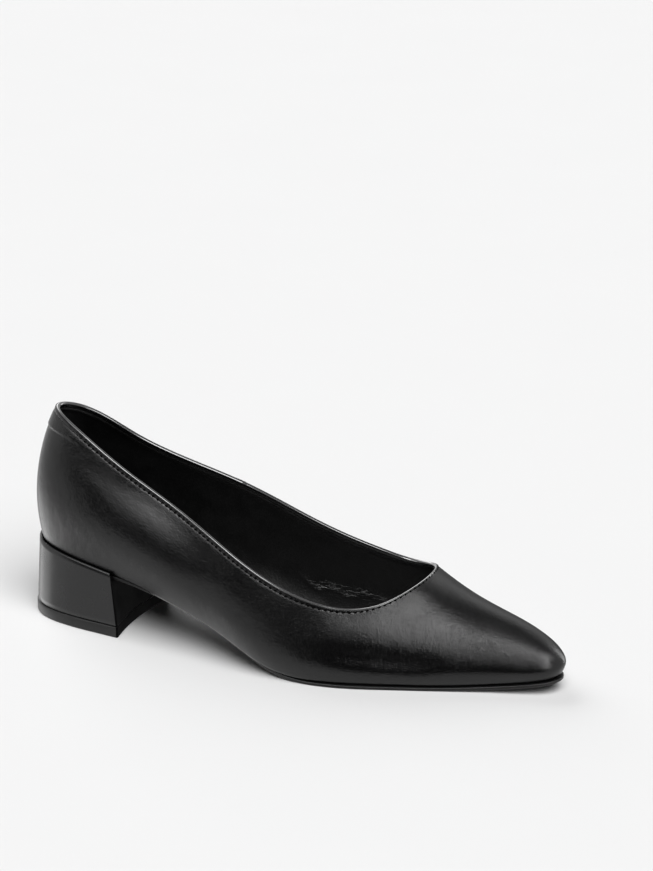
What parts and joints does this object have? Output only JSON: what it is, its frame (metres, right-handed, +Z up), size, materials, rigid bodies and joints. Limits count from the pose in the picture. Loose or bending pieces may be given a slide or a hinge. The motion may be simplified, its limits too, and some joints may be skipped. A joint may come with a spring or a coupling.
{
  "type": "low heel pump",
  "caption": "Pointed-toe leather pump for the right foot: hollow upper with bound topline, insole, thin outsole, flared block heel and top piece.",
  "frame": {"origin": "on the floor under the middle of the shoe's bounding box", "axes": "+X from the heel to the toe, +Y to the inner side of the right foot, +Z up"},
  "size_m": [0.261, 0.0794, 0.101],
  "materials": {
    "upper_leather": "smooth black leather, satin",
    "binding_leather": "smooth black leather, polished on the fold",
    "insole_leather": "soft black sock leather",
    "sole_rubber": "black, matt",
    "heel_block": "black, satin cover",
    "top_piece_rubber": "black, matt"
  },
  "bodies": {
    "root": {"upper": "upper_leather", "topline_binding": "binding_leather", "insole": "insole_leather", "outsole": "sole_rubber", "heel": "heel_block", "top_piece": "top_piece_rubber"}
  },
  "joints": []
}
